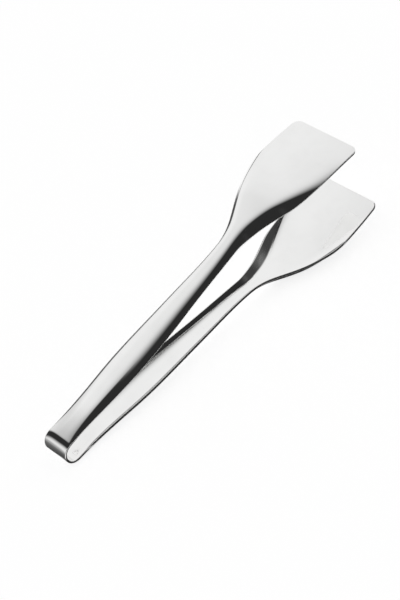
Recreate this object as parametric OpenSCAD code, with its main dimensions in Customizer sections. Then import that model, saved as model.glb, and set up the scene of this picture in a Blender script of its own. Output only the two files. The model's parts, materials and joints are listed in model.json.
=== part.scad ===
// Serving tongs bent from one strip of polished stainless steel.
// Two mirror-image arms, each a shallow crowned channel that widens into a flat spatula blade,
// are joined at the back by a springy half-round bow.
// The tongs lie on their lower arm, open as they spring: X runs from the bow to the blade tips,
// Y across the blades and Z up, with the origin on the table below the middle of the tongs.

/* [Strip] */
// Thickness of the sheet steel
sheet_t = 1.2; // [0.8:0.1:1.4]

/* [Bow] */
// Outer radius of the half-round bow
bow_r = 7; // [5:0.1:10]
// Width of the strip round the bow
bow_width = 16; // [10:0.2:20]
// Angle at which each arm leaves the bow, from the middle of the tongs
heel_angle = 4.3; // [0:0.1:8]
// Angle at which the edges of the strip draw in where an arm leaves the bow
heel_taper = 2.5; // [0:0.1:5]

/* [Arm outline] */
// Length from the back of the bow to the blade tips, along the middle of the tongs
tongs_length = 210; // [200:1:240]
// Greatest width of the grip
grip_width = 18.8; // [14:0.1:22]
// Distance from the back of the bow to the widest part of the grip
grip_at = 54; // [35:1:70]
// Width of the neck, where the arm is narrowest
neck_width = 12.1; // [10:0.1:14]
// Distance from the back of the bow to the neck
neck_at = 130; // [124:1:136]
// Width halfway along the flare from the neck to the blade
flare_width = 32.2; // [26:0.2:36]
// Distance from the back of the bow to the middle of the flare
flare_at = 158; // [154:1:162]
// Angle of the edge to the length of the tongs at the middle of the flare
flare_angle = 25; // [18:1:32]
// Greatest width of the spatula blade
blade_width = 43.8; // [38:0.2:52]
// Distance from the back of the bow to the widest part of the blade
blade_at = 184; // [176:1:192]
// Width of the blade at its straight tip edge, before the corners are rounded
tip_width = 42.8; // [34:0.2:52]
// Radius of the two rounded corners of the tip edge
tip_corner_r = 4; // [2:0.5:8]

/* [Arm side view] */
// Height of the arm's outer face above the middle of the tongs at the grip
grip_rise = 11.7; // [10:0.1:14]
// Height of the outer face above the middle halfway along the arm
arm_rise = 14.7; // [13:0.1:17]
// Distance from the back of the bow to halfway along the arm
arm_at = 90; // [80:1:100]
// Height of the outer face above the middle at the neck
neck_rise = 19.1; // [17:0.1:21]
// Angle at which the outer face climbs from the middle at the neck
neck_climb = 11.3; // [8:0.1:14]
// Height of the outer face above the middle at the root of the blade, where it stands highest
root_rise = 26.6; // [23:0.1:29]
// Distance from the back of the bow to the root of the blade
root_at = 160; // [150:1:168]
// Height of the outer face above the middle at the widest part of the blade
blade_rise = 24.5; // [21:0.1:27]
// Height of the outer face above the middle at the tip edge
tip_rise = 21.9; // [16:0.1:28]

/* [Arm section] */
// Slope of the turned-in flanks, measured from the flat of the arm
flank_angle = 52; // [40:1:60]
// How late the crown of the arm turns down to its flanks: 1 is an even round, more is flatter on top
arm_crown = 3; // [1.5:0.1:3.5]
// How late the crown of the blade turns down to its flanks
blade_crown = 10; // [4:0.5:10]
// Straight length of the flank along the grip
grip_flank = 1.7; // [1:0.1:2.6]
// Straight length of the flank at the neck
neck_flank = 2.9; // [2:0.1:3.5]
// Straight length of the flank where it is deepest, behind the root of the blade
root_flank = 5.4; // [4.5:0.1:6]
// Distance from the back of the bow to where the crown reaches its full slope
crown_full_at = 40; // [30:1:60]
// Distance from the back of the bow to where the crown begins to turn down more sharply
crown_sharpens_at = 138; // [132:1:146]
// Distance from the back of the bow to where the flanks reach their full grip length
flank_full_at = 94; // [70:1:98]
// Distance from the back of the bow to where the flanks are deepest
flank_deepest_at = 155; // [148:1:160]
// Distance from the back of the bow to where the flanks run out on the blade
flank_ends_at = 186; // [180:1:196]
// Distance from the back of the bow to where the crown runs out on the blade
crown_ends_at = 204; // [198:1:205]

/* [Hidden] */

// Steel colour of all three lengths of the strip
steel = [0.90, 0.90, 0.895];
// Number of sections along an arm and along one rounded tip corner
arm_steps = 48;
corner_steps = 6;
// Number of facets across half a crown, across a flank and round a full bow
crown_steps = 8;
flank_steps = 2;
bow_facets = 96;

// Place and height at which an arm leaves the bow, square across the strip
heel_at = bow_r * (1 - sin(heel_angle));
heel_rise = bow_r * cos(heel_angle);

// Profile knots, each [distance from the back of the bow, value, slope where it is fixed]
width_knots = [
    [heel_at, bow_width / 2, -tan(heel_taper)],
    [grip_at, grip_width / 2, 0],
    [neck_at, neck_width / 2, 0],
    [flare_at, flare_width / 2, tan(flare_angle)],
    [blade_at, blade_width / 2, 0],
    [tongs_length, tip_width / 2]
];
rise_knots = [
    [heel_at, heel_rise, tan(heel_angle)],
    [grip_at, grip_rise],
    [arm_at, arm_rise],
    [neck_at, neck_rise, tan(neck_climb)],
    [root_at, root_rise, 0],
    [blade_at, blade_rise],
    [tongs_length, tip_rise]
];
slope_knots = [
    [heel_at, 0],
    [crown_full_at, flank_angle, 0],
    [root_at, flank_angle, 0],
    [crown_ends_at, 0, 0]
];
crown_knots = [
    [crown_sharpens_at, arm_crown, 0],
    [root_at, blade_crown, 0]
];
flank_knots = [
    [heel_at, 0, 0],
    [flank_full_at, grip_flank, 0],
    [neck_at, neck_flank],
    [flank_deepest_at, root_flank, 0],
    [flank_ends_at, 0, 0]
];

// Secant slope of the stretch that follows knot i
function secant(k, i) = (k[i + 1][1] - k[i][1]) / (k[i + 1][0] - k[i][0]);

// Slope at knot i: the fixed one, or the mean of its two stretches, or the end stretch's own
function knot_slope(k, i) =
    len(k[i]) == 3 ? k[i][2] :
    i == 0 ? secant(k, 0) :
    i == len(k) - 1 ? secant(k, i - 1) :
    (secant(k, i - 1) + secant(k, i)) / 2;

// Cubic stretch from knot i to the next, at the fraction t of its length
function stretch(k, i, t) =
    let (h = k[i + 1][0] - k[i][0])
    (2 * pow(t, 3) - 3 * pow(t, 2) + 1) * k[i][1]
    + (pow(t, 3) - 2 * pow(t, 2) + t) * h * knot_slope(k, i)
    + (3 * pow(t, 2) - 2 * pow(t, 3)) * k[i + 1][1]
    + (pow(t, 3) - pow(t, 2)) * h * knot_slope(k, i + 1);

// Smooth curve through the knots, level past its two ends
function profile(k, x, i = 0) =
    x <= k[0][0] ? k[0][1] :
    x >= k[len(k) - 1][0] ? k[len(k) - 1][1] :
    x <= k[i + 1][0] ? stretch(k, i, (x - k[i][0]) / (k[i + 1][0] - k[i][0])) :
    profile(k, x, i + 1);

// How far the rounded tip corner cuts into the half width
function corner_cut(x) =
    let (past = x - (tongs_length - tip_corner_r))
    past <= 0 ? 0 : tip_corner_r - sqrt(max(0, pow(tip_corner_r, 2) - pow(past, 2)));

function half_width(x) = profile(width_knots, x) - corner_cut(x);
function rise(x) = profile(rise_knots, x);
function slope(x) = profile(slope_knots, x);
function crown(x) = profile(crown_knots, x);
function flank(x) = profile(flank_knots, x);

// Share of the developed half crown at which facet i ends, closer together towards the flank
function crown_share(i) = 1 - pow(1 - i / crown_steps, 2);

// End of facet i of a half crown of unit length that turns to the slope s, as [across, down]
function crown_point(s, late, i) =
    i == 0 ? [0, 0] :
    let (
        from = crown_share(i - 1),
        to = crown_share(i),
        turn = s * pow((from + to) / 2, late)
    )
    crown_point(s, late, i - 1) + (to - from) * [cos(turn), sin(turn)];

// Half section of the outer face from the middle to the rim, as [across, down, slope]
function half_section(x) =
    let (
        s = slope(x),
        late = crown(x),
        f = flank(x),
        edge = crown_point(s, late, crown_steps),
        size = (half_width(x) - f * cos(s)) / edge[0]
    )
    concat(
        [for (i = [0:crown_steps])
            let (p = size * crown_point(s, late, i))
            [p[0], p[1], s * pow(crown_share(i), late)]],
        [for (i = [1:flank_steps])
            let (l = f * i / flank_steps)
            [size * edge[0] + l * cos(s), size * edge[1] + l * sin(s), s]]
    );

// Point of the section at depth t below the outer face, on the side that the sign gives
function section_point(x, q, t, side) =
    [x, side * (q[0] - t * sin(q[2])), rise(x) - q[1] - t * cos(q[2])];

// Ring of one section: outer face from the near rim to the far one, and back along the inner face
function section_ring(x) =
    let (
        h = half_section(x),
        n = len(h)
    )
    concat(
        [for (i = [n - 1:-1:1]) section_point(x, h[i], 0, -1)],
        [for (i = [0:n - 1]) section_point(x, h[i], 0, 1)],
        [for (i = [n - 1:-1:1]) section_point(x, h[i], sheet_t, 1)],
        [for (i = [0:n - 1]) section_point(x, h[i], sheet_t, -1)]
    );

// Places of the sections: even along the arm, then along the quarter round of the tip corner
straight_end = tongs_length - tip_corner_r;
arm_stations = concat(
    [for (i = [0:arm_steps]) heel_at + (straight_end - heel_at) * i / arm_steps],
    [for (i = [1:corner_steps]) straight_end + tip_corner_r * sin(90 * i / corner_steps)]
);

// Tilt at which the bow and the root of the lower blade both touch the table
function touch_angle(x) =
    let (
        along = x - bow_r,
        out = sqrt(pow(along, 2) + pow(rise(x), 2))
    )
    atan2(rise(x), along) - asin(bow_r / out);
rest_tilt = max([for (x = arm_stations) if (x > grip_at) touch_angle(x)]);

// Distance from the centre of the bow to the foremost edge, the outside of the lower tip
reach = (tongs_length - bow_r) * cos(rest_tilt) + tip_rise * sin(rest_tilt);
bow_centre = [-(reach - bow_r) / 2, 0, bow_r];

// Moves a piece from the tongs' own middle plane to where it lies on the table
module laid() {
    translate(bow_centre)
        rotate([0, -rest_tilt, 0])
            translate([-bow_r, 0, 0])
                children();
}

// One arm above the middle plane, as a closed skin over its sections
module arm() {
    rings = [for (x = arm_stations) section_ring(x)];
    m = len(rings[0]);
    last = len(rings) - 1;
    half = m / 2;
    sides = [for (i = [0:last - 1], j = [0:m - 1])
        let (
            a = i * m + j,
            b = i * m + (j + 1) % m
        )
        each [[a, b, b + m], [a, b + m, a + m]]];
    root_cap = [for (j = [0:half - 2])
        let (
            k = m - 1 - j
        )
        each [[j, k - 1, j + 1], [j, k, k - 1]]];
    tip_cap = [for (j = [0:half - 2])
        let (
            a = last * m + j,
            k = last * m + m - 1 - j
        )
        each [[a, a + 1, k - 1], [a, k - 1, k]]];
    polyhedron(
        points = [for (r = rings) each r],
        faces = concat(sides, root_cap, tip_cap)
    );
}

// Round spring between the two arms, cut off square where each of them leaves it
module spring_bow() {
    color(steel)
        laid()
            difference() {
                translate([bow_r, 0, 0])
                    rotate([90, 0, 0])
                        rotate([0, 0, 90])
                            rotate_extrude(angle = 180, $fn = bow_facets)
                                translate([bow_r - sheet_t, -bow_width / 2])
                                    square([sheet_t, bow_width]);
                translate([heel_at, -bow_width, -bow_r])
                    cube([bow_r, 2 * bow_width, 2 * bow_r]);
            }
}

// Arm that stands clear of the table and is pressed down
module upper_arm() {
    color(steel)
        laid()
            arm();
}

// Arm that lies on the table
module lower_arm() {
    color(steel)
        laid()
            mirror([0, 0, 1])
                arm();
}

spring_bow();
upper_arm();
lower_arm();
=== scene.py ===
"""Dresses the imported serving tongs: one bent strip of polished steel under soft studio light."""

from __future__ import annotations

import json
import logging
import math
from collections.abc import Callable, Iterable, Iterator
from contextlib import contextmanager
from dataclasses import dataclass, field
from enum import Enum
from functools import cached_property
from typing import Any

import bmesh
import bpy
from mathutils import Matrix, Quaternion, Vector

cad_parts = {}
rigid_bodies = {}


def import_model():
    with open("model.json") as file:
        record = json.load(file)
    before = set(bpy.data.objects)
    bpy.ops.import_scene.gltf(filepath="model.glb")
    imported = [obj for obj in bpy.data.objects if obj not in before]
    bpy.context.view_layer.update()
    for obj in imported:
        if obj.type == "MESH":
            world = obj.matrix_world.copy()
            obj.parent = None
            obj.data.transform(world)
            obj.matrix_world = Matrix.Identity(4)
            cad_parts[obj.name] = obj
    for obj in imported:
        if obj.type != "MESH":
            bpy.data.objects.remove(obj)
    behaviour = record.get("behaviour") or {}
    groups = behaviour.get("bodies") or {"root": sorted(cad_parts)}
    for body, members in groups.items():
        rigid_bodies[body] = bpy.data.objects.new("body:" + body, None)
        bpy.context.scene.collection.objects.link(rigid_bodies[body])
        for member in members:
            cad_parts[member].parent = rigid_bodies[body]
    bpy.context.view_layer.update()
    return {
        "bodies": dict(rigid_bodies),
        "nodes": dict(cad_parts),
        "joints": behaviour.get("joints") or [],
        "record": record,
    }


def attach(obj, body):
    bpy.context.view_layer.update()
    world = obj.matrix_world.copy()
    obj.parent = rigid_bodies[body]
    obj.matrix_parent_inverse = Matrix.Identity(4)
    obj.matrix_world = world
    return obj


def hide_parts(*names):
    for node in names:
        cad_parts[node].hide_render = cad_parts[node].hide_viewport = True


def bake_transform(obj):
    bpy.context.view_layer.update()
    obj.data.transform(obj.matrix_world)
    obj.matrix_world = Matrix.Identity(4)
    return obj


LOG = logging.getLogger("serving_tongs")
MM = 0.001
STEEL_SLOT = "polished_steel"
STRIP_UV = "strip"
FORMED_NORMAL = "formed_normal"
Range = tuple[float, float]


class Half(Enum):
    """The two halves of the tongs, by the sign of their side of the middle plane."""

    UPPER = 1
    LOWER = -1


@dataclass(frozen=True)
class Knot:
    """One fixed point of a profile along the tongs.

    Args:
        at: Distance from the back of the bow.
        value: Value of the profile there.
        slope: Slope of the profile there, or None to follow its neighbours.
    """

    at: float
    value: float
    slope: float | None = None


class Profile:
    """Smooth curve through knots, level past its two ends."""

    def __init__(self, *knots: Knot) -> None:
        """Keeps the knots in order along the tongs."""
        self.knots = knots

    def _secant(self, i: int) -> float:
        """Slope of the straight line that follows knot i."""
        a, b = self.knots[i], self.knots[i + 1]
        return (b.value - a.value) / (b.at - a.at)

    def _slope(self, i: int) -> float:
        """Slope of the curve at a knot.

        Args:
            i: Number of the knot.

        Returns:
            The knot's own slope, or the mean slope of the lines beside it.
        """
        knot, last = self.knots[i], len(self.knots) - 1
        if knot.slope is not None:
            return knot.slope
        if i == 0:
            return self._secant(0)
        if i == last:
            return self._secant(last - 1)
        return (self._secant(i - 1) + self._secant(i)) / 2

    def __call__(self, x: float) -> float:
        """Value of the curve.

        Args:
            x: Distance from the back of the bow.

        Returns:
            The profile's value there.
        """
        if x <= self.knots[0].at:
            return self.knots[0].value
        if x >= self.knots[-1].at:
            return self.knots[-1].value
        i = next(n for n in range(len(self.knots) - 1) if x <= self.knots[n + 1].at)
        a, b = self.knots[i], self.knots[i + 1]
        h = b.at - a.at
        t = (x - a.at) / h
        return (
            (2 * t**3 - 3 * t**2 + 1) * a.value
            + (t**3 - 2 * t**2 + t) * h * self._slope(i)
            + (3 * t**2 - 2 * t**3) * b.value
            + (t**3 - t**2) * h * self._slope(i + 1)
        )


@dataclass(frozen=True)
class Section:
    """Half of the outer face's section at one place along the strip: a crown, then a straight flank.

    Args:
        half_width: Width from the middle to the rim.
        slope: Slope of the flank, in radians.
        late: How late the crown turns down, where 1 is an even round.
        flank: Length of the straight flank.
        edge_round: Radius of the rounded rim.
        steps: Number of short steps in which the crown is walked.
    """

    half_width: float
    slope: float
    late: float
    flank: float
    edge_round: float
    steps: int = 40

    def _unit_crown(self, share: float) -> Vector:
        """Walks a crown of unit length.

        Args:
            share: Share of its length to walk, from the middle.

        Returns:
            How far that leads across and down.
        """
        step = share / self.steps
        walked = Vector((0, 0))
        for i in range(self.steps):
            turn = self.slope * ((i + 0.5) * step) ** self.late
            walked += step * Vector((math.cos(turn), math.sin(turn)))
        return walked

    @cached_property
    def crown(self) -> float:
        """Developed length of the crown that the width and the flank leave."""
        return (self.half_width - self.flank * math.cos(self.slope)) / self._unit_crown(1).x

    @property
    def developed(self) -> float:
        """Developed length from the middle to the rim, with what its rounding takes off the width."""
        lost = math.sin(self.slope) + math.cos(self.slope) - 1
        return self.crown + self.flank + self.edge_round * lost / math.cos(self.slope)

    def point(self, way: float) -> Vector:
        """Finds one point of the section.

        Args:
            way: Developed length from the middle, negative towards the near rim.

        Returns:
            The point's place across the strip, signed as the way, and its depth below the middle.
        """
        past = max(abs(way) - self.crown, 0)
        place = self.crown * self._unit_crown(min(abs(way) / self.crown, 1))
        place += past * Vector((math.cos(self.slope), math.sin(self.slope)))
        return Vector((math.copysign(place.x, way), place.y))


@dataclass
class StripForm:
    """Sizes of the formed strip, in its own frame: X from the back of the bow, middle plane at Z 0.

    A width goes from rim to rim, a rise is the height of the arm's outer face over the middle plane, and
    what ends in at is a distance from the back of the bow. A crown says how late the section turns down,
    and a flank is the straight length that follows it. The five profiles are drawn from these sizes.
    """

    sheet_t: float = 1.2 * MM
    edge_round: float = 0.3 * MM
    bow_r: float = 7 * MM
    bow_width: float = 16 * MM
    heel_angle: float = math.radians(4.3)
    heel_taper: float = math.radians(2.5)
    tongs_length: float = 210 * MM
    grip_width: float = 18.8 * MM
    grip_at: float = 54 * MM
    neck_width: float = 12.1 * MM
    neck_at: float = 130 * MM
    flare_width: float = 32.2 * MM
    flare_at: float = 158 * MM
    flare_angle: float = math.radians(25)
    blade_width: float = 43.8 * MM
    blade_at: float = 184 * MM
    tip_width: float = 42.8 * MM
    tip_corner_r: float = 4 * MM
    grip_rise: float = 11.7 * MM
    arm_rise: float = 14.7 * MM
    arm_at: float = 90 * MM
    neck_rise: float = 19.1 * MM
    neck_climb: float = math.radians(11.3)
    root_rise: float = 26.6 * MM
    root_at: float = 160 * MM
    blade_rise: float = 24.5 * MM
    tip_rise: float = 21.9 * MM
    flank_angle: float = math.radians(52)
    heel_slope: float = math.radians(14)
    heel_crown_run: float = 7 * MM
    arm_crown: float = 3
    blade_crown: float = 10
    crown_sharpens_at: float = 138 * MM
    grip_flank: float = 1.7 * MM
    neck_flank: float = 2.9 * MM
    root_flank: float = 5.4 * MM
    crown_full_at: float = 40 * MM
    flank_full_at: float = 94 * MM
    flank_deepest_at: float = 155 * MM
    flank_ends_at: float = 186 * MM
    crown_ends_at: float = 204 * MM
    width: Profile = field(init=False)
    rise: Profile = field(init=False)
    slope: Profile = field(init=False)
    late: Profile = field(init=False)
    flank: Profile = field(init=False)

    def __post_init__(self) -> None:
        """Draws the profiles along the strip from the sizes."""
        heel = self.heel_at
        self.width = Profile(
            Knot(heel, self.bow_width / 2, -math.tan(self.heel_taper)),
            Knot(self.grip_at, self.grip_width / 2, 0),
            Knot(self.neck_at, self.neck_width / 2, 0),
            Knot(self.flare_at, self.flare_width / 2, math.tan(self.flare_angle)),
            Knot(self.blade_at, self.blade_width / 2, 0),
            Knot(self.tongs_length, self.tip_width / 2),
        )
        self.rise = Profile(
            Knot(heel, self.bow_r * math.cos(self.heel_angle), math.tan(self.heel_angle)),
            Knot(self.grip_at, self.grip_rise),
            Knot(self.arm_at, self.arm_rise),
            Knot(self.neck_at, self.neck_rise, math.tan(self.neck_climb)),
            Knot(self.root_at, self.root_rise, 0),
            Knot(self.blade_at, self.blade_rise),
            Knot(self.tongs_length, self.tip_rise),
        )
        self.slope = Profile(
            Knot(heel - self.heel_crown_run, 0, 0),
            Knot(heel, self.heel_slope),
            Knot(self.crown_full_at, self.flank_angle, 0),
            Knot(self.root_at, self.flank_angle, 0),
            Knot(self.crown_ends_at, 0, 0),
        )
        self.late = Profile(
            Knot(self.crown_sharpens_at, self.arm_crown, 0),
            Knot(self.root_at, self.blade_crown, 0),
        )
        self.flank = Profile(
            Knot(heel, 0, 0),
            Knot(self.flank_full_at, self.grip_flank, 0),
            Knot(self.neck_at, self.neck_flank),
            Knot(self.flank_deepest_at, self.root_flank, 0),
            Knot(self.flank_ends_at, 0, 0),
        )

    @property
    def heel_at(self) -> float:
        """Distance from the back of the bow to where an arm leaves it."""
        return self.bow_r * (1 - math.sin(self.heel_angle))

    @property
    def bow_sweep(self) -> float:
        """Angle of half the bow, from its back to where an arm leaves it."""
        return math.pi / 2 - self.heel_angle

    def past_heel(self, point: Vector) -> float:
        """Distance of a point of either half past the square cut between the bow and the arm."""
        along = (point.x - self.bow_r) * math.cos(self.heel_angle)
        return along + abs(point.z) * math.sin(self.heel_angle)

    def section(self, place: float) -> Section:
        """Section of the strip.

        Args:
            place: Distance from the back of the bow, and on the bow the heel's less the way round to it.

        Returns:
            The section there.
        """
        profiles = (self.width, self.slope, self.late, self.flank)
        return Section(*(profile(place) for profile in profiles), self.edge_round)

    def bow_place(self, angle: float) -> float:
        """Place along the strip of an angle round the bow from its back."""
        return self.heel_at - self.bow_r * (self.bow_sweep - angle)

    def bow_point(self, angle: float, across: float, depth: float) -> Vector:
        """Point of the bow.

        Args:
            angle: Angle round the bow from its back.
            across: Place across the strip.
            depth: Depth below the bow's outermost line.

        Returns:
            The point, in the strip's own frame.
        """
        out = self.bow_r - depth
        return Vector((self.bow_r - out * math.cos(angle), across, out * math.sin(angle)))

    def arm_point(self, x: float, across: float, depth: float) -> Vector:
        """Point of the upper arm.

        Args:
            x: Distance from the back of the bow.
            across: Place across the strip.
            depth: Depth below the arm's highest line.

        Returns:
            The point, in the strip's own frame.
        """
        return self.with_round_corner(Vector((x, across, self.rise(x) - depth)))

    def with_round_corner(self, point: Vector) -> Vector:
        """Draws a point near a square tip corner in to the corner's arc.

        Args:
            point: Point of a blade whose tip corners are square.

        Returns:
            The point on the blade with round corners, moved only inside the corner's own square.
        """
        r = self.tip_corner_r
        along = (point.x - (self.tongs_length - r)) / r
        across = (abs(point.y) - (self.width(point.x) - r)) / r
        if along <= 0 or across <= 0:
            return point
        x = point.x + r * along * (math.sqrt(1 - across**2 / 2) - 1)
        y = abs(point.y) + r * across * (math.sqrt(1 - along**2 / 2) - 1)
        return Vector((x, math.copysign(y, point.y), point.z))

    def rest_tilt(self, stations: Iterable[float]) -> float:
        """Tilt at which the bow and the root of the lower blade both touch the table.

        Args:
            stations: Distances from the back of the bow at which the blade may touch.

        Returns:
            The angle between the middle plane and the table, in radians.
        """

        def touch(x: float) -> float:
            """Tilt at which the arm's outer face touches the table at x."""
            along, rise = x - self.bow_r, self.rise(x)
            return math.atan2(rise, along) - math.asin(self.bow_r / math.hypot(along, rise))

        return max(touch(x) for x in stations if x > self.grip_at)


class Bench:
    """Small helpers round Blender's operators."""

    @staticmethod
    def pick(piece: bpy.types.Object) -> None:
        """Selects one object alone and makes it active.

        Args:
            piece: The object to select.
        """
        bpy.ops.object.select_all(action="DESELECT")
        piece.select_set(True)
        bpy.context.view_layer.objects.active = piece

    @staticmethod
    @contextmanager
    def editing(piece: bpy.types.Object, mode: str = "VERT") -> Iterator[bmesh.types.BMesh]:
        """Opens a piece in edit mode.

        Args:
            piece: The object to edit.
            mode: VERT, EDGE or FACE selection.

        Yields:
            The edit mesh.
        """
        Bench.pick(piece)
        bpy.ops.object.mode_set(mode="EDIT")
        bpy.ops.mesh.select_mode(type=mode)
        yield bmesh.from_edit_mesh(piece.data)
        bpy.ops.object.mode_set(mode="OBJECT")

    @staticmethod
    def select(piece: bpy.types.Object, part: str, wanted: Callable[[Any], bool]) -> None:
        """Selects vertices, edges or faces of a piece in edit mode, by their place.

        Args:
            piece: The object in edit mode.
            part: verts, edges or faces.
            wanted: Test of one element.
        """
        bpy.ops.mesh.select_all(action="DESELECT")
        mesh = bmesh.from_edit_mesh(piece.data)
        for element in filter(wanted, getattr(mesh, part)):
            element.select_set(True)
        mesh.select_flush_mode()
        bmesh.update_edit_mesh(piece.data)

    @staticmethod
    def apply(piece: bpy.types.Object, kind: str, **settings: Any) -> None:
        """Adds a modifier and applies it.

        Args:
            piece: The object to change.
            kind: The modifier's type.
            **settings: Its settings, by name.
        """
        Bench.pick(piece)
        modifier = piece.modifiers.new(kind.lower(), kind)
        for name, value in settings.items():
            setattr(modifier, name, value)
        bpy.ops.object.modifier_apply(modifier=modifier.name)


@dataclass
class FormedStrip:
    """The whole strip: an upper arm and half a bow, mirrored, thickened and parted at its joints.

    Args:
        form: Sizes of the strip.
        columns: Number of faces across the strip.
        column_crowding: How much closer the columns run towards the rims, where 1 is evenly.
        rim_band: Width of the outermost column.
        bow_rows: Number of faces round half the bow.
        arm_rows: Number of faces along an arm.
        row_crowding: How much closer the rows are at the bow and at the tip, where 0 is evenly.
        edge_round_steps: Number of faces round a rounded edge.
        sharp_edge: Least angle between two faces whose edge is rounded.
        smooth_levels: How often the finished mesh is subdivided.
        merge_reach: Distance within which two points are one.
    """

    form: StripForm
    columns: int = 44
    column_crowding: float = 1.3
    rim_band: float = 0.62 * MM
    bow_rows: int = 26
    arm_rows: int = 156
    row_crowding: float = 0.48
    edge_round_steps: int = 4
    sharp_edge: float = math.radians(50)
    smooth_levels: int = 1
    merge_reach: float = 0.001 * MM

    def ways(self, section: Section) -> list[float]:
        """Ways across a section at which the columns run, with a band of even width along each rim.

        Args:
            section: Section of the strip.

        Returns:
            Developed lengths from the middle, from the near rim to the far one.
        """
        last = self.columns // 2 - 1
        inner = section.developed - self.rim_band
        half = [inner * (1 - (1 - i / last) ** self.column_crowding) for i in range(last + 1)]
        half.append(section.developed)
        return [-way for way in reversed(half[1:])] + half

    def stations(self) -> list[float]:
        """Places the rows along the arm, closer together at the bow and at the tip.

        Returns:
            The rows' distances from the back of the bow.
        """
        start, length = self.form.heel_at, self.form.tongs_length - self.form.heel_at
        shares = [i / self.arm_rows for i in range(1, self.arm_rows + 1)]
        crowd = self.row_crowding / math.tau
        return [start + length * (s - crowd * math.sin(math.tau * s)) for s in shares]

    def build(self) -> bpy.types.Object:
        """Forms the strip as one piece, in its own frame.

        Returns:
            The strip with its thickness, round edges and smooth faces.
        """
        strip = self._edge_at_bow()
        self._bend_bow(strip)
        self._draw_arm(strip)
        self._unroll(strip)
        Bench.apply(
            strip,
            "MIRROR",
            use_axis=(False, False, True),
            use_mirror_merge=True,
            merge_threshold=self.merge_reach,
        )
        self._face_outwards(strip)
        Bench.apply(
            strip,
            "SOLIDIFY",
            thickness=self.form.sheet_t,
            offset=-1,
            use_even_offset=True,
            use_quality_normals=True,
        )
        self._round_edges(strip)
        Bench.apply(strip, "SUBSURF", levels=self.smooth_levels, render_levels=self.smooth_levels)
        Bench.pick(strip)
        bpy.ops.object.shade_smooth()
        return strip

    def _edge_at_bow(self) -> bpy.types.Object:
        """Makes the edge across the back of the bow from one side of a plane.

        Returns:
            The edge, with its points at the columns.
        """
        width = self.form.bow_width
        bpy.ops.object.select_all(action="DESELECT")
        bpy.ops.mesh.primitive_plane_add(size=width, location=(width / 2, 0, 0))
        strip = bpy.context.active_object
        strip.name = "formed_strip"
        bpy.ops.object.transform_apply(location=True)
        with Bench.editing(strip):
            Bench.select(strip, "verts", lambda v: v.co.x > width / 2)
            bpy.ops.mesh.delete(type="VERT")
            bpy.ops.mesh.select_all(action="SELECT")
            bpy.ops.mesh.subdivide(number_cuts=self.columns - 1)
        return strip

    def _bend_bow(self, strip: bpy.types.Object) -> None:
        """Spins the edge round the upper half of the bow and presses each row to its section.

        Args:
            strip: The edge across the back of the bow.
        """
        form = self.form
        with Bench.editing(strip, "EDGE"):
            bpy.ops.mesh.select_all(action="SELECT")
            bpy.ops.mesh.spin(
                steps=self.bow_rows,
                angle=-form.bow_sweep,
                center=(form.bow_r, 0, 0),
                axis=(0, 1, 0),
            )
        for vertex in strip.data.vertices:
            angle = math.atan2(vertex.co.z, form.bow_r - vertex.co.x)
            section = form.section(form.bow_place(angle))
            column = round((vertex.co.y / form.bow_width + 0.5) * self.columns)
            vertex.co = form.bow_point(angle, *section.point(self.ways(section)[column]))

    def _draw_arm(self, strip: bpy.types.Object) -> None:
        """Extrudes the open edge row by row along the arm and presses each row to its section.

        Args:
            strip: The upper half of the bow.
        """
        form = self.form
        with Bench.editing(strip, "EDGE"):
            front = -self.merge_reach
            Bench.select(strip, "edges", lambda e: all(form.past_heel(v.co) > front for v in e.verts))
            for x in self.stations():
                bpy.ops.mesh.extrude_region_move(TRANSFORM_OT_translate={"value": (MM, 0, 0)})
                mesh = bmesh.from_edit_mesh(strip.data)
                row = sorted((v for v in mesh.verts if v.select), key=lambda v: v.co.y)
                section = form.section(x)
                for vertex, way in zip(row, self.ways(section), strict=True):
                    vertex.co = form.arm_point(x, *section.point(way))
            bmesh.update_edit_mesh(strip.data)

    def _unroll(self, strip: bpy.types.Object) -> None:
        """Gives the strip a UV map in metres: along it from the back of the bow, and across it.

        Args:
            strip: The upper half of the sheet.
        """
        form = self.form
        layer = strip.data.uv_layers.new(name=STRIP_UV)
        for loop in strip.data.loops:
            point = strip.data.vertices[loop.vertex_index].co
            if form.past_heel(point) < 0:
                along = form.bow_r * math.atan2(point.z, form.bow_r - point.x)
            else:
                along = form.bow_r * form.bow_sweep + point.x - form.heel_at
            layer.data[loop.index].uv = (along, point.y)

    def _face_outwards(self, strip: bpy.types.Object) -> None:
        """Turns the faces of the open sheet so that the upper arm's look up.

        Args:
            strip: The open sheet, both halves.
        """
        with Bench.editing(strip, "FACE") as mesh:
            bpy.ops.mesh.select_all(action="SELECT")
            bpy.ops.mesh.normals_make_consistent(inside=False)
            highest = max(mesh.faces, key=lambda f: f.calc_center_median().z)
            if highest.normal.z < 0:
                bpy.ops.mesh.flip_normals()

    def _round_edges(self, strip: bpy.types.Object) -> None:
        """Takes the sharpness off the sheet's cut edges.

        Args:
            strip: The sheet with its thickness.
        """
        with Bench.editing(strip, "EDGE"):
            bpy.ops.mesh.select_all(action="DESELECT")
            bpy.ops.mesh.edges_select_sharp(sharpness=self.sharp_edge)
            bpy.ops.mesh.bevel(
                offset=self.form.edge_round,
                segments=self.edge_round_steps,
                profile=0.5,
                affect="EDGES",
                clamp_overlap=False,
            )

    def part(
        self, strip: bpy.types.Object, names: dict[tuple[bool, Half], str]
    ) -> dict[str, bpy.types.Object]:
        """Parts the strip at the back of the bow and where the arms leave it.

        Args:
            strip: The formed strip.
            names: Name of each piece, by whether it is an arm and by its half.

        Returns:
            The closed pieces by name.
        """
        self._keep_normals(strip)
        pieces = {}
        for (is_arm, half), name in names.items():
            pieces[name] = self._take(strip, name, is_arm, half)
        bpy.data.objects.remove(strip)
        for piece in pieces.values():
            self._close(piece)
        return pieces

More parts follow.
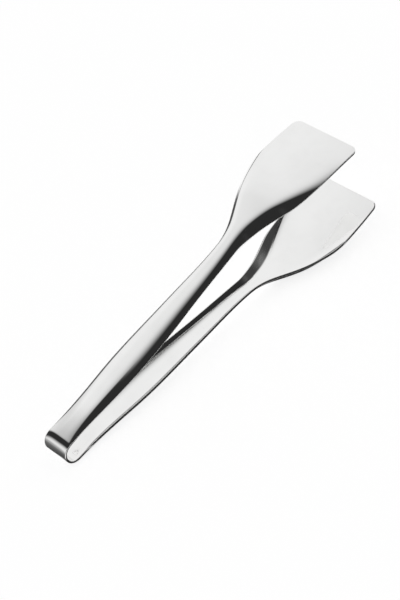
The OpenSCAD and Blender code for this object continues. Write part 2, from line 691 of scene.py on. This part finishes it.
    def _keep_normals(self, strip: bpy.types.Object) -> None:
        """Stores the whole strip's normals, so that the pieces still shade as one surface.

        Args:
            strip: The formed strip.
        """
        kept = strip.data.attributes.new(FORMED_NORMAL, "FLOAT_VECTOR", "POINT")
        for vertex, entry in zip(strip.data.vertices, kept.data, strict=True):
            entry.vector = vertex.normal

    def _take(self, strip: bpy.types.Object, name: str, is_arm: bool, half: Half) -> bpy.types.Object:
        """Separates one piece from the strip.

        Args:
            strip: What is left of the strip.
            name: Name of the piece.
            is_arm: True for an arm, False for half the bow.
            half: Side of the middle plane.

        Returns:
            The piece as an object of its own.
        """

        def belongs(face: bmesh.types.BMFace) -> bool:
            """True if the face lies in the piece."""
            centre = face.calc_center_median()
            return (self.form.past_heel(centre) > 0) == is_arm and centre.z * half.value > 0

        copy = strip.copy()
        copy.data = strip.data.copy()
        copy.name = name
        copy.data.name = name
        bpy.context.scene.collection.objects.link(copy)
        with Bench.editing(copy, "FACE"):
            Bench.select(copy, "faces", lambda f: not belongs(f))
            bpy.ops.mesh.delete(type="FACE")
        return copy

    def _close(self, piece: bpy.types.Object) -> None:
        """Closes a piece where it was parted, and keeps the strip's own shading along the cut.

        The caps that close it are its only faces with more than four corners.

        Args:
            piece: A piece of the parted strip.
        """
        with Bench.editing(piece, "EDGE"):
            Bench.select(piece, "edges", lambda e: e.is_boundary)
            bpy.ops.mesh.fill_holes(sides=0)
        data = piece.data
        kept = data.attributes[FORMED_NORMAL].data
        caps = {p.index for p in data.polygons if len(p.vertices) > 4}
        seam = {v for i in caps for v in data.polygons[i].vertices}
        normals = [Vector()] * len(data.loops)
        for polygon in data.polygons:
            for index in polygon.loop_indices:
                vertex = data.loops[index].vertex_index
                if polygon.index in caps:
                    normals[index] = polygon.normal.copy()
                elif vertex in seam:
                    normals[index] = Vector(kept[vertex].vector)
        data.normals_split_custom_set(normals)
        data.attributes.remove(data.attributes[FORMED_NORMAL])

    def lay(self, pieces: Iterable[bpy.types.Object], bow_centre: Vector) -> None:
        """Moves the pieces from the strip's own frame to where the tongs lie on the table.

        Args:
            pieces: The parted pieces.
            bow_centre: Centre of the bow in the shared frame.
        """
        tilt = self.form.rest_tilt(self.stations())
        turn = Matrix.Rotation(-tilt, 4, "Y")
        place = Matrix.Translation(bow_centre) @ turn @ Matrix.Translation((-self.form.bow_r, 0, 0))
        for piece in pieces:
            piece.data.transform(place)
            piece.data.update()


class Signal:
    """Output socket of a node, wrapped so that shader maths is written as arithmetic."""

    def __init__(self, sheet: NodeSheet, socket: bpy.types.NodeSocket | None) -> None:
        """Keeps the node sheet and the socket."""
        self.sheet = sheet
        self.socket = socket

    def __add__(self, other: Signal | float) -> Signal:
        """Sum of two values."""
        return self.sheet.math("ADD", self, other)

    def __sub__(self, other: Signal | float) -> Signal:
        """Difference of two values."""
        return self.sheet.math("SUBTRACT", self, other)

    def __rsub__(self, other: float) -> Signal:
        """A number less a value."""
        return self.sheet.math("SUBTRACT", other, self)

    def __mul__(self, other: Signal | float) -> Signal:
        """Product of two values."""
        return self.sheet.math("MULTIPLY", self, other)

    __radd__ = __add__
    __rmul__ = __mul__


class NodeSheet:
    """A cleared node tree with one way to add nodes."""

    def __init__(self, tree: bpy.types.NodeTree) -> None:
        """Clears the tree."""
        self.tree = tree
        tree.nodes.clear()

    def add(
        self,
        kind: str,
        settings: dict[str, Any] | None = None,
        inputs: dict[str | int, Any] | None = None,
        output: str | int = 0,
    ) -> Signal:
        """Adds one node.

        Args:
            kind: The node's type.
            settings: Properties that are set before its sockets, such as an operation.
            inputs: Values or signals of its sockets, by name or number.
            output: Name or number of the output to hand on.

        Returns:
            The chosen output, or an empty signal where the node has none.
        """
        node = self.tree.nodes.new(kind)
        for name, value in (settings or {}).items():
            setattr(node, name, value)
        for name, value in (inputs or {}).items():
            if isinstance(value, Signal):
                self.tree.links.new(value.socket, node.inputs[name])
            else:
                node.inputs[name].default_value = value
        return Signal(self, node.outputs[output] if node.outputs else None)

    def math(self, operation: str, a: Signal | float, b: Signal | float = 0.0) -> Signal:
        """Adds a Math node for one or two values."""
        return self.add("ShaderNodeMath", {"operation": operation}, {0: a, 1: b})

    def stretch(self, value: Signal, low: float, high: float) -> Signal:
        """Maps a range on to 0 to 1, clamped and eased.

        Args:
            value: The value to map.
            low: Start of the range.
            high: End of the range.

        Returns:
            0 below the range, 1 above it and a smooth step between.
        """
        return self.add(
            "ShaderNodeMapRange",
            {"interpolation_type": "SMOOTHSTEP"},
            {"Value": value, "From Min": low, "From Max": high},
        )

    def blend(self, factor: Signal, a: tuple[float, ...], b: tuple[float, ...]) -> Signal:
        """Mixes two colours by a factor."""
        inputs = {"Factor": factor, 6: a, 7: b}
        return self.add("ShaderNodeMix", {"data_type": "RGBA"}, inputs, output=2)

    def axes(self, source: str, names: str) -> list[Signal]:
        """Splits a texture coordinate into the axes that are named."""
        place = self.add("ShaderNodeTexCoord", output=source)
        return [self.add("ShaderNodeSeparateXYZ", inputs={0: place}, output=name) for name in names]

    def ray(self, kind: str) -> Signal:
        """1 on rays of one kind, by the name of Light Path's output, and 0 on the rest."""
        return self.add("ShaderNodeLightPath", output=kind)


@dataclass(frozen=True)
class PolishedSteel:
    """Stainless steel polished to a soft mirror, with fine lines along the strip and a faint haze.

    Args:
        colour: Colour of the clear steel.
        hazy_colour: Colour where the haze lies.
        roughness: Roughness of the clear steel.
        haze_roughness: What the haze adds to it.
        line_roughness: What the fine lines add to it.
        scratch_roughness: What the scratches add to it, inside the haze.
        lines: Fine lines to a metre along and across the strip, and their finer layers.
        haze: Patches of haze to a metre along and across the strip, and their finer layers.
        scratches: Scratches to a metre along and across the strip, and their finer layers.
        haze_from: Levels of the noise between which the haze sets in.
        scratches_from: Levels of the noise between which a scratch sets in.
        line_depth: Depth of the fine lines.
        line_strength: How strongly they turn the light.
    """

    colour: tuple[float, ...] = (0.90, 0.90, 0.895, 1)
    hazy_colour: tuple[float, ...] = (0.87, 0.87, 0.865, 1)
    roughness: float = 0.04
    haze_roughness: float = 0.03
    line_roughness: float = 0.015
    scratch_roughness: float = 0.04
    lines: tuple[float, float, float] = (9, 2400, 2)
    haze: tuple[float, float, float] = (70, 70, 4)
    scratches: tuple[float, float, float] = (40, 700, 1)
    haze_from: Range = (0.35, 0.75)
    scratches_from: Range = (0.66, 0.76)
    line_depth: float = 0.0006 * MM
    line_strength: float = 0.2

    def material(self) -> bpy.types.Material:
        """Builds the finish.

        Returns:
            The material.
        """
        made = bpy.data.materials.new(STEEL_SLOT)
        made.use_nodes = True
        sheet = NodeSheet(made.node_tree)
        lines = self._grain(sheet, *self.lines)
        patches = sheet.stretch(self._grain(sheet, *self.haze), *self.haze_from)
        scratches = sheet.stretch(self._grain(sheet, *self.scratches), *self.scratches_from)
        rough = (
            self.roughness
            + patches * self.haze_roughness
            + lines * self.line_roughness
            + scratches * self.scratch_roughness * patches
        )
        bump = sheet.add(
            "ShaderNodeBump",
            inputs={"Strength": self.line_strength, "Distance": self.line_depth, "Height": lines},
        )
        shader = sheet.add(
            "ShaderNodeBsdfPrincipled",
            inputs={
                "Base Color": sheet.blend(patches, self.colour, self.hazy_colour),
                "Metallic": 1.0,
                "Roughness": rough,
                "Normal": bump,
            },
        )
        sheet.add("ShaderNodeOutputMaterial", inputs={"Surface": shader})
        return made

    @staticmethod
    def _grain(sheet: NodeSheet, along: float, across: float, detail: float) -> Signal:
        """Noise on the strip's own map.

        Args:
            sheet: The node sheet.
            along: Grains to a metre along the strip.
            across: Grains to a metre across the strip.
            detail: Number of finer layers.

        Returns:
            The noise, from 0 to 1.
        """
        place = sheet.add("ShaderNodeUVMap", {"uv_map": STRIP_UV})
        scaled = sheet.add("ShaderNodeMapping", inputs={"Vector": place, "Scale": (along, across, 1)})
        return sheet.add("ShaderNodeTexNoise", inputs={"Vector": scaled, "Scale": 1.0, "Detail": detail})


class Stage:
    """Small helpers for the sheets that stand round the tongs."""

    @staticmethod
    def sheet(
        name: str, low: tuple[float, float], high: tuple[float, float], height: float
    ) -> bpy.types.Object:
        """Lays a level sheet.

        Args:
            name: What the sheet is called.
            low: Its least X and Y.
            high: Its greatest X and Y.
            height: Its height.

        Returns:
            The sheet.
        """
        bpy.ops.object.select_all(action="DESELECT")
        bpy.ops.mesh.primitive_plane_add(size=1)
        made = bpy.context.active_object
        made.name = name
        made.scale = (high[0] - low[0], high[1] - low[1], 1)
        made.location = ((low[0] + high[0]) / 2, (low[1] + high[1]) / 2, height)
        bpy.ops.object.transform_apply(location=True, scale=True)
        return made

    @staticmethod
    def paint(sheet: bpy.types.Object) -> NodeSheet:
        """Gives a sheet a material of its own name.

        Args:
            sheet: The sheet to paint.

        Returns:
            The material's empty node tree.
        """
        made = bpy.data.materials.new(sheet.name)
        made.use_nodes = True
        sheet.data.materials.append(made)
        return NodeSheet(made.node_tree)

    @staticmethod
    def glow_in_steel_alone(
        sheet: bpy.types.Object, paint: NodeSheet, shown: Signal, strength: Signal | float
    ) -> None:
        """Lets a sheet glow in reflections and hides it from everything else.

        Args:
            sheet: The sheet.
            paint: Its material's node tree.
            shown: 1 where the sheet is whole and 0 where it is clear.
            strength: How bright it looks.
        """
        clear = paint.add("ShaderNodeBsdfTransparent")
        glow = paint.add("ShaderNodeEmission", inputs={"Strength": strength})
        both = paint.add("ShaderNodeMixShader", inputs={0: shown, 1: clear, 2: glow})
        paint.add("ShaderNodeOutputMaterial", inputs={"Surface": both})
        sheet.visible_camera = False
        sheet.visible_diffuse = False
        sheet.visible_shadow = False


@dataclass(frozen=True)
class OverheadSoftbox:
    """Broad diffuser above the tongs that fades towards its edges, seen in the steel alone.

    Args:
        height: Height above the table.
        radiance: How bright the diffuser looks, where 1 is white.
        left_edge: X of the middle of the left fade on the far side, before its slant.
        left_near: X of the middle of the left fade on the near side, before its slant.
        left_turn: Y at which the edge has turned to the near side's place, and at which it begins to.
        left_slant: How far that edge moves left for each metre of Y.
        left_fade: Width of the left fade.
        corner_at: Y beyond which the left edge turns and its fade spreads.
        corner_slant: What is added to its slant there.
        left_spread: How much wider the left fade gets there for each metre of Y, as a share of it.
        near_edge: Y of the middle of the near fade, at X 0.
        near_slant: How far that edge moves near for each metre of X.
        near_fade: Width of the near fade, at X 0.
        near_growth: How much wider that fade is for each metre of X, as a share of it.
        least_growth: Least width of that fade far to the left, as a share of it.
        far_edge: Y of the middle of the far fade.
        far_fade: Width of the far fade.
        low: Least X and Y that the diffuser reaches.
        high: Greatest X and Y that it reaches.
    """

    height: float = 0.20
    radiance: float = 0.94
    left_edge: float = -0.107
    left_near: float = -0.066
    left_turn: Range = (0.035, 0.085)
    left_slant: float = 0.05
    left_fade: float = 0.036
    corner_at: float = 0.16
    corner_slant: float = -0.05
    left_spread: float = 16
    near_edge: float = 0.0458
    near_slant: float = 0.192
    near_fade: float = 0.249
    near_growth: float = 1.13
    least_growth: float = 0.2
    far_edge: float = 0.85
    far_fade: float = 0.50
    low: tuple[float, float] = (-0.80, -0.50)
    high: tuple[float, float] = (1.60, 1.80)

    def build(self) -> None:
        """Hangs the diffuser."""
        panel = Stage.sheet("overhead_softbox", self.low, self.high, self.height)
        sheet = Stage.paint(panel)
        x, y = sheet.axes("Object", "XY")
        beyond = sheet.math("MAXIMUM", y - self.corner_at, 0.0)
        left = self.left_near + sheet.stretch(y, *self.left_turn) * (self.left_edge - self.left_near)
        past = x + y * self.left_slant + beyond * self.corner_slant - left
        past = sheet.math("DIVIDE", past, beyond * self.left_spread + 1)
        inside = self._edge(sheet, past, self.left_fade)
        growth = sheet.math("MAXIMUM", x * self.near_growth + 1, self.least_growth)
        near = sheet.math("DIVIDE", y + x * self.near_slant - self.near_edge, growth)
        inside = inside * self._edge(sheet, near, self.near_fade)
        inside = inside * self._edge(sheet, self.far_edge - y, self.far_fade)
        Stage.glow_in_steel_alone(panel, sheet, inside, self.radiance)

    @staticmethod
    def _edge(sheet: NodeSheet, past: Signal, fade: float) -> Signal:
        """Soft edge of the given width, by the distance past its middle."""
        return sheet.stretch(past, -fade / 2, fade / 2)


@dataclass(frozen=True)
class PaintedShadowCard:
    """Card on the table round the tongs with the tongs' shadow painted on it, seen in the steel alone:
    dark at them and lighter away, so that it draws dark lines along their edges.

    Args:
        low: Least X and Y of the card.
        high: Greatest X and Y of the card.
        lift: Height above the table top.
        bow_at: X of the back of the bow.
        nearby: How bright the far part looks at the tongs.
        growth: How much brighter it gets for each metre away from them.
        limit: How bright it gets at most behind the bow.
        beside_limit: How bright it gets at most beside the arms.
        beside_fade: X past the back of the bow at which what lies beside the arms begins, and is whole.
        gap: Width of bare table between the near part and the far one beside the arms.
        middle_fade: Y at which the near part begins to give way to the far one, and at which it has.
        near_side: How bright the near part looks.
        blade_fade: X at which the far part begins to run out towards the blades, and at which it has.
        bow_fade: X at which the near part has run out past the bow, and at which it is whole.
        front_fade: Y at which the near part has run out in front of the bow, and at which it is whole.
        front_slant: How far that edge moves near for each metre towards the blades.
    """

    low: tuple[float, float] = (-4, -0.12)
    high: tuple[float, float] = (0.20, 4)
    lift: float = 0.01 * MM
    bow_at: float = -0.105
    nearby: float = 0.05
    growth: float = 3.6
    limit: float = 0.41
    beside_limit: float = 0.08
    beside_fade: Range = (-0.005, 0.015)
    gap: float = 0.035
    middle_fade: Range = (-0.008, 0.004)
    near_side: float = 0.03
    blade_fade: Range = (0.065, 0.087)
    bow_fade: Range = (-0.125, -0.112)
    front_fade: Range = (-0.022, -0.012)
    front_slant: float = 0.5

    def build(self) -> None:
        """Lays the card with its painted shadow."""
        card = Stage.sheet("grey_card", self.low, self.high, self.lift)
        sheet = Stage.paint(card)
        x, y = sheet.axes("Object", "XY")
        past_bow = x - self.bow_at
        behind = sheet.math("MINIMUM", past_bow, 0.0)
        away = sheet.math("SQRT", behind * behind + y * y)
        beside = sheet.stretch(past_bow, *self.beside_fade)
        limit = self.limit + beside * (self.beside_limit - self.limit)
        # painted shadow: dark where the card meets the tongs and lighter for each metre away; the near
        # part is painted shade in front of them
        far_bright = sheet.math("MINIMUM", away * self.growth + self.nearby, limit)
        far = sheet.stretch(y - beside * self.gap, *self.middle_fade)
        near = 1 - sheet.stretch(y, *self.middle_fade)
        bright = far * far_bright + near * self.near_side
        whole = sheet.stretch(y + past_bow * self.front_slant, *self.front_fade)
        whole = whole * sheet.stretch(x, *self.bow_fade)
        shown = far * (1 - sheet.stretch(x, *self.blade_fade)) + near * whole
        Stage.glow_in_steel_alone(card, sheet, shown, bright)


@dataclass(frozen=True)
class PhotoCamera:
    """The photograph's point of view.

    Args:
        place: Where the camera stands.
        aim: The point that it looks at.
        roll: Its turn about its own axis, in degrees.
        focal_pixels: Focal length, in the photograph's pixels.
        long_side_pixels: The photograph's longer side.
        sensor: Longer side of the sensor, in millimetres.
    """

    place: tuple[float, float, float] = (-0.32337, -0.52600, 0.63011)
    aim: tuple[float, float, float] = (-0.00083, 0.00175, 0.02000)
    roll: float = -17.69
    focal_pixels: float = 1742.9
    long_side_pixels: float = 600
    sensor: float = 36

    def build(self) -> None:
        """Sets up the camera."""
        bpy.ops.object.select_all(action="DESELECT")
        bpy.ops.object.camera_add(location=self.place)
        camera = bpy.context.active_object
        camera.name = "photo_camera"
        camera.data.sensor_width = self.sensor
        camera.data.lens = self.sensor * self.focal_pixels / self.long_side_pixels
        look = Vector(self.aim) - Vector(self.place)
        turn = Quaternion((0, 0, 1), math.radians(self.roll))
        camera.rotation_mode = "QUATERNION"
        camera.rotation_quaternion = look.to_track_quat("-Z", "Y") @ turn
        bpy.context.scene.camera = camera


@dataclass
class Studio:
    """White table, soft light, a room that is dark on the camera's side, and the camera.

    The walls are painted on the room by direction, as X, Y and Z of a unit arrow. Of each pair of values,
    a wall begins at the first and is whole at the second.

    Args:
        floor_reach: How far the table reaches each way.
        floor_drop: How far it lies under the tongs.
        floor_albedo: How much light its paint gives back.
        floor_lift: Light that it adds, so that it looks white.
        room_fill: Even light that falls on all that isn't a mirror.
        dark_wall: How bright the room looks in the steel where there is no other wall.
        bow_wall: How bright the wall past the bow looks.
        bow_wall_from: Its edge, by how far the arrow points past the bow.
        bow_wall_depth: Its edge on the near side, by Y.
        bow_wall_foot: Its lower edge, by Z.
        far_wall: How bright the foot of the far wall looks.
        far_wall_from: Its edge, by Y.
        far_wall_top: Its upper edge, by how far the arrow points down.
        right_wall: How bright the wall past the blades looks.
        right_wall_from: Its edge, by X.
        right_wall_depth: Its edge on the near side, by Y.
        right_shade: What the whole right side adds to the dark.
        right_shade_from: Its edge, by X.
        near_foot: How bright the foot of the wall behind the camera looks.
        near_foot_from: Its edge, by how far the arrow points near.
        near_foot_top: Its upper edge, by how far the arrow points down.
        near_foot_side: Its left edge, by X.
        near_foot_gap: Where a dark gap in it begins and is whole, by X.
        near_foot_again: Where that gap ends and the foot is whole again, by X.
    """

    floor_reach: float = 6
    floor_drop: float = 0.02 * MM
    floor_albedo: float = 0.80
    floor_lift: float = 0.79
    room_fill: float = 0.32
    dark_wall: float = 0.032
    bow_wall: float = 1.0
    bow_wall_from: Range = (0.522, 0.765)
    bow_wall_depth: Range = (-0.2, 0.4)
    bow_wall_foot: Range = (-0.25, 0.25)
    far_wall: float = 0.06
    far_wall_from: Range = (0.1, 0.8)
    far_wall_top: Range = (-0.6, -0.3)
    right_wall: float = 0.9
    right_wall_from: Range = (0.3, 0.75)
    right_wall_depth: Range = (-0.45, 0.1)
    right_shade: float = 0.035
    right_shade_from: Range = (0.45, 0.7)
    near_foot: float = 0.55
    near_foot_from: Range = (0.6, 0.8)
    near_foot_top: Range = (-0.37, -0.24)
    near_foot_side: Range = (-0.5, -0.2)
    near_foot_gap: Range = (0.06, 0.14)
    near_foot_again: Range = (0.42, 0.6)

    def build(self) -> None:
        """Builds the room round the tongs."""
        self._floor()
        self._room()
        OverheadSoftbox().build()
        # card with the tongs' painted shadow on the table, seen in the steel alone
        PaintedShadowCard().build()
        PhotoCamera().build()
        bpy.context.scene.view_settings.view_transform = "Standard"

    def _floor(self) -> None:
        """Lays the pale table top, which looks white to the camera and in the steel."""
        reach = self.floor_reach
        floor = Stage.sheet("table_top", (-reach, -reach), (reach, reach), -self.floor_drop)
        sheet = Stage.paint(floor)
        paint = (self.floor_albedo,) * 3 + (1,)
        paper = sheet.add("ShaderNodeBsdfDiffuse", inputs={"Color": paint})
        lift = sheet.add("ShaderNodeEmission", inputs={"Strength": self._seen(sheet) * self.floor_lift})
        both = sheet.add("ShaderNodeAddShader", inputs={0: paper, 1: lift})
        sheet.add("ShaderNodeOutputMaterial", inputs={"Surface": both})

    @staticmethod
    def _seen(sheet: NodeSheet) -> Signal:
        """1 on rays from the camera, in reflections and through glass, and 0 on the rest."""
        return sheet.ray("Is Camera Ray") + sheet.ray("Is Glossy Ray") + sheet.ray("Is Transmission Ray")

    def _room(self) -> None:
        """Paints the room: white to the camera, dark in the steel on the camera's side."""
        world = bpy.data.worlds.new("studio_room")
        world.use_nodes = True
        bpy.context.scene.world = world
        sheet = NodeSheet(world.node_tree)
        walls = self._walls(sheet)
        camera = sheet.ray("Is Camera Ray")
        glossy = sheet.ray("Is Glossy Ray")
        strength = camera + glossy * walls + (1 - camera - glossy) * self.room_fill
        light = sheet.add("ShaderNodeBackground", inputs={"Strength": strength})
        sheet.add("ShaderNodeOutputWorld", inputs={"Surface": light})

    def _walls(self, sheet: NodeSheet) -> Signal:
        """Paints the walls that show in the steel.

        Args:
            sheet: The room's node tree.

        Returns:
            How bright the room looks in each direction.
        """
        x, y, z = sheet.axes("Generated", "XYZ")
        left, near, down = -1 * x, -1 * y, -1 * z
        bow = sheet.stretch(left, *self.bow_wall_from) * sheet.stretch(y, *self.bow_wall_depth)
        bow = bow * sheet.stretch(z, *self.bow_wall_foot)
        far = sheet.stretch(y, *self.far_wall_from) * sheet.stretch(down, *self.far_wall_top)
        right = sheet.stretch(x, *self.right_wall_from) * sheet.stretch(y, *self.right_wall_depth)
        shade = sheet.stretch(x, *self.right_shade_from)
        foot = sheet.stretch(near, *self.near_foot_from) * sheet.stretch(down, *self.near_foot_top)
        lit = sheet.stretch(x, *self.near_foot_side) - sheet.stretch(x, *self.near_foot_gap)
        foot = foot * (lit + sheet.stretch(x, *self.near_foot_again))
        painted = bow * self.bow_wall + far * self.far_wall + foot * self.near_foot
        return painted + right * self.right_wall + shade * self.right_shade + self.dark_wall


@dataclass
class ServingTongs:
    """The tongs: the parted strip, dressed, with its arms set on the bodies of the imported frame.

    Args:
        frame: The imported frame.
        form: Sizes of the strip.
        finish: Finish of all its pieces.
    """

    frame: dict[str, Any]
    form: StripForm = field(default_factory=StripForm)
    finish: PolishedSteel = PolishedSteel()

    def build(self) -> list[bpy.types.Object]:
        """Builds the pieces and sets each arm on its body.

        Returns:
            The finished pieces.
        """
        strip = FormedStrip(self.form)
        names = {
            (True, Half.UPPER): "upper_blade_arm",
            (True, Half.LOWER): "lower_blade_arm",
            (False, Half.UPPER): "bow_upper_half",
            (False, Half.LOWER): "bow_lower_half",
        }
        pieces = strip.part(strip.build(), names)
        centre = self._bow_centre()
        strip.lay(pieces.values(), centre)
        steel = self.finish.material()
        for piece in pieces.values():
            piece.data.materials.clear()
            piece.data.materials.append(steel)
        for half in Half:
            arm, bow = pieces[names[True, half]], pieces[names[False, half]]
            self._hang(arm, bow, half, centre)
        return list(pieces.values())

    def _bow_centre(self) -> Vector:
        """Centre of the bow, from the loop that the tongs hang by."""
        loop = next(m for m in self.frame["record"]["mounts"] if m["name"] == "hang_loop")
        return Vector(loop["pos_m"])

    def _hang(self, arm: bpy.types.Object, bow: bpy.types.Object, half: Half, centre: Vector) -> None:
        """Sets one arm on its body; its half of the bow is left where it lies, on no body.

        Args:
            arm: The arm.
            bow: Its half of the bow.
            half: Which half.
            centre: Centre of the bow.
        """
        body = f"{half.name.lower()}_arm"
        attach(arm, body)
        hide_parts(body)
        inside = self.form.bow_r - self.form.sheet_t
        back = inside * self._backward()
        turn = Quaternion((0, 1, 0), half.value * self.form.bow_sweep)
        centre + back
        centre + turn @ back
        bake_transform(bow)
        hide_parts("spring_bow")

    def _backward(self) -> Vector:
        """Finds which way the back of the bow lies, between the two flex points.

        Returns:
            The direction from the centre of the bow.
        """
        points = [Vector(j["pos_m"]) for j in self.frame["joints"]]
        middle = (points[0] + points[1]) / 2
        return (middle - self._bow_centre()).normalized()


def main() -> None:
    """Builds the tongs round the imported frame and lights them."""
    logging.basicConfig(level=logging.INFO, format="%(message)s")
    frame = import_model()
    for piece in ServingTongs(frame).build():
        LOG.info("%s: %d faces", piece.name, len(piece.data.polygons))
    Studio().build()


if __name__ == "__main__":
    main()
